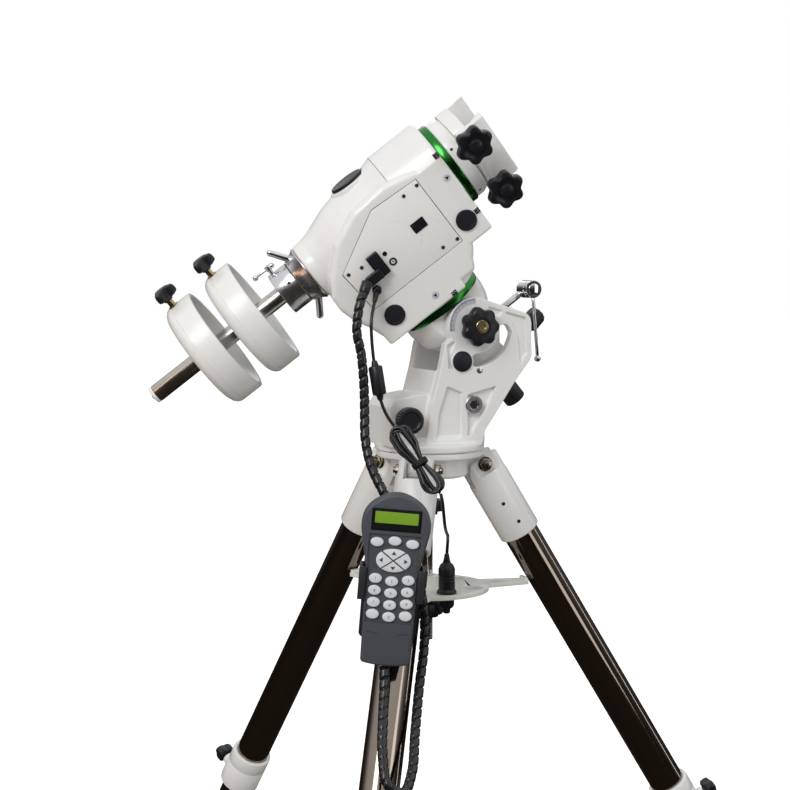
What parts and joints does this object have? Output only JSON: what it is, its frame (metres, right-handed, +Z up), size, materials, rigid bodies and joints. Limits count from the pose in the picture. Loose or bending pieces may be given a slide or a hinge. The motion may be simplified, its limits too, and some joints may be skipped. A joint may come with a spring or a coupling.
{
  "type": "equatorial mount",
  "caption": "German equatorial telescope mount on a steel field tripod, with declination saddle, counterweight shaft, spreader tray, corded hand controller and power lead.",
  "frame": {"origin": "floor level, under the middle of the footprint box", "axes": "+Z up; -X towards the pole the polar axis points at; the hand controller faces the -Y side"},
  "size_m": [0.9718, 1.0383, 1.3365],
  "materials": {
    "white_casting": "gloss",
    "white_leg_casting": "gloss",
    "white_weight": "gloss",
    "white_panel": "satin",
    "tray_white": "satin",
    "green_anodised": "satin",
    "leg_steel": "polished",
    "shaft_steel": "satin",
    "satin_silver": "satin",
    "chrome": "polished",
    "black_knob": "satin",
    "black_rubber": "matte",
    "cord_rubber": "satin",
    "handset_grey": "matte",
    "handset_keys": "matte"
  },
  "bodies": {
    "root": {"tripod_head": "white_casting", "azimuth_peg": "shaft_steel", "central_rod": "chrome", "handset_cord": "cord_rubber", "power_cord_upper": "cord_rubber", "power_hank": "cord_rubber", "power_cord_lower": "cord_rubber"},
    "tray": {"spreader_tray": "tray_white", "power_plug": "black_knob"},
    "tray_nut": {"tray_nut": "black_knob"},
    "rod_knob": {"rod_knob": "black_knob"},
    "azimuth": {"fork_base": "white_casting"},
    "azimuth_knob_1": {"azimuth_knob_1": "black_knob"},
    "azimuth_knob_2": {"azimuth_knob_2": "black_knob"},
    "altitude": {"polar_housing": "white_casting", "ra_ring": "green_anodised"},
    "altitude_screw": {"altitude_screw": "chrome"},
    "altitude_handle": {"altitude_handle": "chrome"},
    "altitude_lock_1": {"altitude_lock_knob_1": "black_knob"},
    "altitude_lock_2": {"altitude_lock_knob_2": "black_knob"},
    "ra": {"dec_housing": "white_casting", "control_panel": "white_panel", "handset_cord_plug": "black_knob", "power_cord_connector": "black_knob"},
    "ra_clutch": {"ra_clutch_knob": "black_knob"},
    "polar_scope": {"polar_scope": "black_knob"},
    "polar_cap": {"polar_cap": "black_knob"},
    "power_switch": {"power_switch": "black_knob"},
    "dec": {"dec_ring": "green_anodised", "dec_shaft": "white_casting", "saddle_body": "white_casting", "shaft_holder": "satin_silver"},
    "dec_clutch": {"dec_clutch_ring": "satin_silver"},
    "shaft_lock": {"shaft_lock": "chrome"},
    "counterweight_shaft": {"counterweight_shaft": "shaft_steel"},
    "counterweight_1": {"counterweight_1": "white_weight"},
    "weight_knob_1": {"weight_knob_1": "black_knob"},
    "counterweight_2": {"counterweight_2": "white_weight"},
    "weight_knob_2": {"weight_knob_2": "black_knob"},
    "saddle_jaw": {"saddle_jaw": "white_casting"},
    "saddle_knob_1": {"saddle_knob_1": "black_knob"},
    "saddle_knob_2": {"saddle_knob_2": "black_knob"},
    "leg_1": {"leg_socket_1": "white_leg_casting", "leg_tube_1": "leg_steel", "leg_clamp_1": "white_leg_casting", "handset_holder": "black_knob"},
    "leg_extension_1": {"leg_extension_1": "leg_steel", "foot_1": "black_rubber"},
    "leg_2": {"leg_socket_2": "white_leg_casting", "leg_tube_2": "leg_steel", "leg_clamp_2": "white_leg_casting"},
    "leg_extension_2": {"leg_extension_2": "leg_steel", "foot_2": "black_rubber"},
    "leg_3": {"leg_socket_3": "white_leg_casting", "leg_tube_3": "leg_steel", "leg_clamp_3": "white_leg_casting"},
    "leg_extension_3": {"leg_extension_3": "leg_steel", "foot_3": "black_rubber"},
    "handset": {"handset_body": "handset_grey"},
    "keypad": {"handset_keypad": "handset_keys"}
  },
  "joints": [
    {"name": "azimuth", "type": "hinge", "parent": "root", "child": "azimuth", "pos_m": [-0.111, -0.0204, 0.85], "axis": [0, 0, 1], "range_deg": [-8, 8]},
    {"name": "azimuth_screw_1", "type": "slide", "parent": "azimuth", "child": "azimuth_knob_1", "axis": [0, 1, 0], "range_m": [-0.008, 0.008]},
    {"name": "azimuth_screw_2", "type": "slide", "parent": "azimuth", "child": "azimuth_knob_2", "axis": [0, 1, 0], "range_m": [-0.008, 0.008]},
    {"name": "altitude", "type": "hinge", "parent": "azimuth", "child": "altitude", "pos_m": [-0.0675, -0.0204, 1.023], "axis": [0, 1, 0], "range_deg": [-30, 25], "deforming": ["handset_cord", "power_cord_upper"]},
    {"name": "altitude_screw", "type": "slide", "parent": "azimuth", "child": "altitude_screw", "axis": [-0.809, 0, -0.5878], "range_m": [-0.0115, 0.0095]},
    {"name": "altitude_handle", "type": "hinge", "parent": "altitude_screw", "child": "altitude_handle", "pos_m": [0.0376, -0.0424, 1.0735], "axis": [0, 1, 0], "range_deg": [-100, 25]},
    {"name": "altitude_lock_1", "type": "hinge", "parent": "azimuth", "child": "altitude_lock_1", "pos_m": [-0.0675, -0.0904, 1.023], "axis": [0, -1, 0], "range_deg": [0, 90]},
    {"name": "altitude_lock_2", "type": "hinge", "parent": "azimuth", "child": "altitude_lock_2", "pos_m": [-0.0675, 0.0496, 1.023], "axis": [0, 1, 0], "range_deg": [0, 90]},
    {"name": "ra_axis", "type": "hinge", "parent": "altitude", "child": "ra", "pos_m": [-0.0675, -0.0204, 1.023], "axis": [-0.6428, 0, 0.766], "continuous": true},
    {"name": "ra_clutch", "type": "hinge", "parent": "altitude", "child": "ra_clutch", "pos_m": [-0.01415, -0.0204, 0.95942], "axis": [0.7198, 0.342, 0.604], "range_deg": [0, 90]},
    {"name": "polar_scope_focus", "type": "hinge", "parent": "altitude", "child": "polar_scope", "pos_m": [-0.0675, -0.0204, 1.023], "axis": [-0.6428, 0, 0.766], "continuous": true},
    {"name": "polar_cap_pull", "type": "slide", "parent": "ra", "child": "polar_cap", "axis": [-0.6428, 0, 0.766], "range_m": [0, 0.03]},
    {"name": "power_switch", "type": "hinge", "parent": "ra", "child": "power_switch", "pos_m": [-0.15778, -0.09487, 1.16055], "axis": [-0.6428, 0, 0.766], "range_deg": [-8, 8]},
    {"name": "dec_axis", "type": "hinge", "parent": "ra", "child": "dec", "pos_m": [-0.18963, -0.0204, 1.16855], "axis": [0.7349, -0.2823, 0.6166], "continuous": true},
    {"name": "dec_clutch", "type": "hinge", "parent": "dec", "child": "dec_clutch", "pos_m": [-0.28222, 0.01517, 1.09085], "axis": [0.7349, -0.2823, 0.6166], "range_deg": [0, 60]},
    {"name": "shaft_lock", "type": "hinge", "parent": "dec", "child": "shaft_lock", "pos_m": [-0.33209, 0.02421, 1.10253], "axis": [-0.6428, 0, 0.766], "range_deg": [-90, 90]},
    {"name": "counterweight_shaft", "type": "slide", "parent": "dec", "child": "counterweight_shaft", "axis": [0.7349, -0.2823, 0.6166], "range_m": [0, 0.012]},
    {"name": "counterweight_1", "type": "slide", "parent": "counterweight_shaft", "child": "counterweight_1", "axis": [0.7349, -0.2823, 0.6166], "range_m": [-0.018, 0.012]},
    {"name": "weight_knob_1", "type": "hinge", "parent": "counterweight_1", "child": "weight_knob_1", "pos_m": [-0.41852, 0.04284, 1.10703], "axis": [-0.6428, 0, 0.766], "continuous": true},
    {"name": "counterweight_2", "type": "slide", "parent": "counterweight_shaft", "child": "counterweight_2", "axis": [0.7349, -0.2823, 0.6166], "range_m": [-0.07, 0.018]},
    {"name": "weight_knob_2", "type": "hinge", "parent": "counterweight_2", "child": "weight_knob_2", "pos_m": [-0.46776, 0.06176, 1.06571], "axis": [-0.6428, 0, 0.766], "continuous": true},
    {"name": "saddle_jaw", "type": "slide", "parent": "dec", "child": "saddle_jaw", "axis": [-0.0426, -0.9266, -0.3736], "range_m": [0, 0.009]},
    {"name": "saddle_knob_1", "type": "hinge", "parent": "saddle_jaw", "child": "saddle_knob_1", "pos_m": [-0.1027, -0.15334, 1.26355], "axis": [-0.0426, -0.9266, -0.3736], "continuous": true},
    {"name": "saddle_knob_2", "type": "hinge", "parent": "saddle_jaw", "child": "saddle_knob_2", "pos_m": [-0.04855, -0.13348, 1.20811], "axis": [-0.0426, -0.9266, -0.3736], "continuous": true},
    {"name": "rod_knob", "type": "hinge", "parent": "root", "child": "rod_knob", "pos_m": [-0.111, -0.0204, 0.78], "axis": [0, 0, 1], "continuous": true},
    {"name": "leg_1_fold", "type": "hinge", "parent": "root", "child": "leg_1", "pos_m": [-0.15294, -0.08258, 0.828], "axis": [0.829, -0.5592, 0], "range_deg": [0, 4], "deforming": ["handset_cord"]},
    {"name": "leg_1_extension", "type": "slide", "parent": "leg_1", "child": "leg_extension_1", "axis": [-0.2922, -0.4332, -0.8526], "range_m": [0, 0.3]},
    {"name": "leg_2_fold", "type": "hinge", "parent": "root", "child": "leg_2", "pos_m": [-0.03618, -0.02563, 0.828], "axis": [0.0698, 0.9976, 0], "range_deg": [0, 4]},
    {"name": "leg_2_extension", "type": "slide", "parent": "leg_2", "child": "leg_extension_2", "axis": [0.5212, -0.0364, -0.8526], "range_m": [0, 0.3]},
    {"name": "leg_3_fold", "type": "hinge", "parent": "root", "child": "leg_3", "pos_m": [-0.14388, 0.04701, 0.828], "axis": [-0.8988, -0.4384, 0], "range_deg": [0, 4]},
    {"name": "leg_3_extension", "type": "slide", "parent": "leg_3", "child": "leg_extension_3", "axis": [-0.229, 0.4696, -0.8526], "range_m": [0, 0.3]},
    {"name": "tray_slide", "type": "slide", "parent": "root", "child": "tray", "axis": [0, 0, -1], "range_m": [0, 0.034], "deforming": ["power_cord_lower"]},
    {"name": "tray_nut", "type": "hinge", "parent": "tray", "child": "tray_nut", "pos_m": [-0.111, -0.0204, 0.625], "axis": [0, 0, 1], "continuous": true},
    {"name": "handset_lift", "type": "slide", "parent": "leg_1", "child": "handset", "axis": [0.0781, -0.03, 0.9965], "range_m": [0, 0.05]},
    {"name": "keypad_press", "type": "slide", "parent": "handset", "child": "keypad", "axis": [0.3584, 0.9336, 0], "range_m": [0, 0.0008], "stiffness_N_per_m": 900}
  ],
  "couplings": [
    {"joint": "azimuth_screw_1", "follows": "azimuth", "m_per_rad": 0.057},
    {"joint": "azimuth_screw_2", "follows": "azimuth", "m_per_rad": 0.057},
    {"joint": "altitude_screw", "follows": "altitude", "m_per_rad": 0.021},
    {"joint": "leg_2_fold", "follows": "leg_1_fold", "ratio": 1},
    {"joint": "leg_3_fold", "follows": "leg_1_fold", "ratio": 1},
    {"joint": "tray_slide", "follows": "leg_1_fold", "m_per_rad": 0.468}
  ]
}
